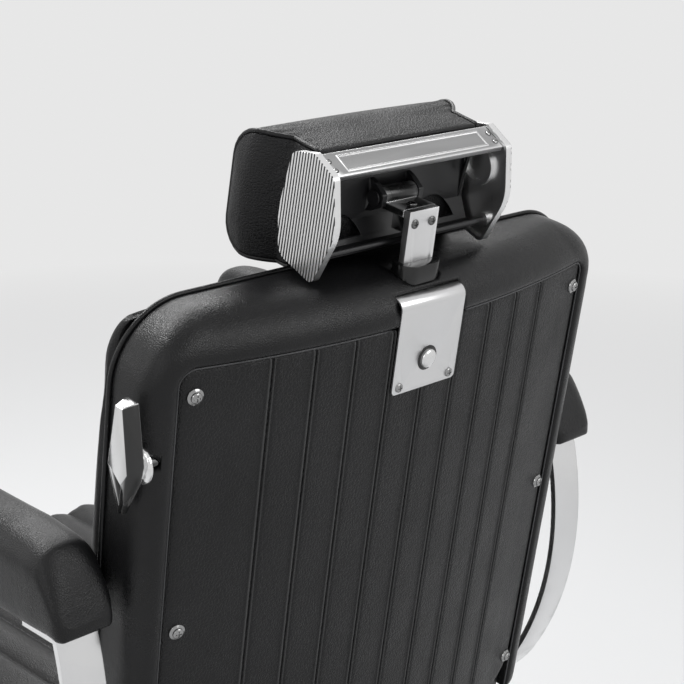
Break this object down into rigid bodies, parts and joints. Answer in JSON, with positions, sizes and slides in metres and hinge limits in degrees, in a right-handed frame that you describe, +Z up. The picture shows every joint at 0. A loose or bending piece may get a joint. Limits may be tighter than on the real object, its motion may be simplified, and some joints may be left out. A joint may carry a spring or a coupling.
{
  "type": "hydraulic barber chair",
  "caption": "Reclining barber chair on a hydraulic column with a channelled back panel, padded arms on bent straps, a tilting headrest on a stem, a linked leg rest and a pump lever.",
  "frame": {"origin": "on the floor under the middle of the column", "axes": "+Z up, -Y out of the front of the seat, +X towards the sitter's left"},
  "size_m": [0.658, 1.1015, 1.0825],
  "materials": {
    "chrome": "polished chrome plate",
    "bright_steel": "ground and plated steel",
    "black_steel": "satin black enamel",
    "cast_iron": "painted casting",
    "leather": "black grained upholstery leather over foam",
    "upholstery": "black grained upholstery leather on a board",
    "wood": "plywood",
    "rubber": "moulded rubber",
    "black_plastic": "moulded black plastic",
    "plated_plastic": "satin plated cover",
    "bearing_steel": "oiled bearing steel"
  },
  "bodies": {
    "base": {"floor_ring": "rubber", "base_plate": "cast_iron", "base_cover": "chrome", "column_cover": "chrome", "pump_cylinder": "cast_iron", "cylinder_gland": "bearing_steel", "pump_housing": "cast_iron", "lever_pin": "bright_steel"},
    "pump_lever": {"pump_lever": "chrome", "pedal_pad": "rubber"},
    "pump_plunger": {"pump_plunger": "bright_steel"},
    "lift": {"ram": "bright_steel", "lift_shroud": "chrome", "swivel_bearing": "bearing_steel"},
    "seat": {"swivel_plate": "cast_iron", "seat_frame": "black_steel", "link_guides": "black_steel", "recline_cylinder": "black_steel", "seat_board": "wood", "seat_cushion": "leather", "seat_apron": "chrome", "arm_strap_left": "chrome", "arm_strap_right": "chrome", "arm_board_left": "wood", "arm_board_right": "wood", "arm_pad_left": "leather", "arm_pad_right": "leather", "arm_screws": "bright_steel", "hinge_bracket_left": "black_steel", "hinge_bracket_right": "black_steel", "hinge_pins": "bright_steel", "leg_axle": "bright_steel"},
    "back": {"back_frame": "black_steel", "back_board": "wood", "back_cushion": "leather", "back_border": "leather", "rear_panel": "upholstery", "panel_screws": "bright_steel", "panel_washers": "bright_steel", "stem_plate": "chrome", "stem_guide": "black_steel", "stem_collar": "black_plastic", "lever_rosette": "chrome"},
    "link_bar": {"link_bar": "bright_steel"},
    "recline_rod": {"recline_rod": "bright_steel"},
    "release_button": {"release_button": "chrome"},
    "recline_lever": {"recline_lever": "chrome"},
    "headrest_stem": {"headrest_stem": "bright_steel", "hinge_block": "black_steel", "headrest_pin": "bright_steel", "stem_screws": "bright_steel"},
    "headrest": {"headrest_pan": "black_steel", "headrest_cushion": "leather", "side_cover_left": "plated_plastic", "side_cover_right": "plated_plastic", "headrest_bar": "chrome", "lower_rod": "black_steel"},
    "leg_rest": {"leg_frame": "chrome", "calf_pad": "leather"},
    "footplate": {"footplate": "chrome"}
  },
  "joints": [
    {"name": "pump_lever_pivot", "type": "hinge", "parent": "base", "child": "pump_lever", "pos_m": [0, 0.15, 0.062], "axis": [-1, 0, 0], "range_deg": [0, 12], "stiffness_Nm_per_rad": 12, "springref_deg": -28.65},
    {"name": "pump_plunger_slide", "type": "slide", "parent": "base", "child": "pump_plunger", "axis": [0, 0, 1], "range_m": [0, 0.0099]},
    {"name": "lift", "type": "slide", "parent": "base", "child": "lift", "axis": [0, 0, 1], "range_m": [0, 0.16]},
    {"name": "swivel", "type": "hinge", "parent": "lift", "child": "seat", "pos_m": [0, 0, 0.365], "axis": [0, 0, 1], "continuous": true},
    {"name": "back_recline", "type": "hinge", "parent": "seat", "child": "back", "pos_m": [0, 0.205, 0.405], "axis": [-1, 0, 0], "range_deg": [0, 50]},
    {"name": "link_slide", "type": "slide", "parent": "seat", "child": "link_bar", "axis": [0, -1, 0], "range_m": [0, 0.0656]},
    {"name": "recline_rod_slide", "type": "slide", "parent": "seat", "child": "recline_rod", "axis": [0, -1, 0], "range_m": [0, 0.0656]},
    {"name": "leg_rest_swing", "type": "hinge", "parent": "seat", "child": "leg_rest", "pos_m": [0, -0.268, 0.387], "axis": [-1, 0, 0], "range_deg": [0, 64.3]},
    {"name": "footplate_fold", "type": "hinge", "parent": "leg_rest", "child": "footplate", "pos_m": [0, -0.40343, 0.13464], "axis": [-1, 0, 0], "range_deg": [0, 90]},
    {"name": "recline_lever_pivot", "type": "hinge", "parent": "back", "child": "recline_lever", "pos_m": [0, 0.2881, 0.85601], "axis": [-1, 0, 0], "range_deg": [0, 30], "stiffness_Nm_per_rad": 2, "springref_deg": -22.92},
    {"name": "headrest_height", "type": "slide", "parent": "back", "child": "headrest_stem", "axis": [0, 0.1564, 0.9877], "range_m": [0, 0.1]},
    {"name": "headrest_tilt", "type": "hinge", "parent": "headrest_stem", "child": "headrest", "pos_m": [0, 0.29201, 1.02195], "axis": [-1, 0, 0], "range_deg": [0, 25]},
    {"name": "release_button_slide", "type": "slide", "parent": "back", "child": "release_button", "axis": [0, -0.9877, 0.1564], "range_m": [0, 0.004], "stiffness_N_per_m": 1500, "springref_m": -0.003}
  ],
  "couplings": [
    {"joint": "pump_plunger_slide", "follows": "pump_lever_pivot", "m_per_rad": 0.047},
    {"joint": "link_slide", "follows": "back_recline", "m_per_rad": 0.074809},
    {"joint": "recline_rod_slide", "follows": "back_recline", "m_per_rad": 0.074809},
    {"joint": "leg_rest_swing", "follows": "back_recline", "ratio": 1.2847}
  ]
}
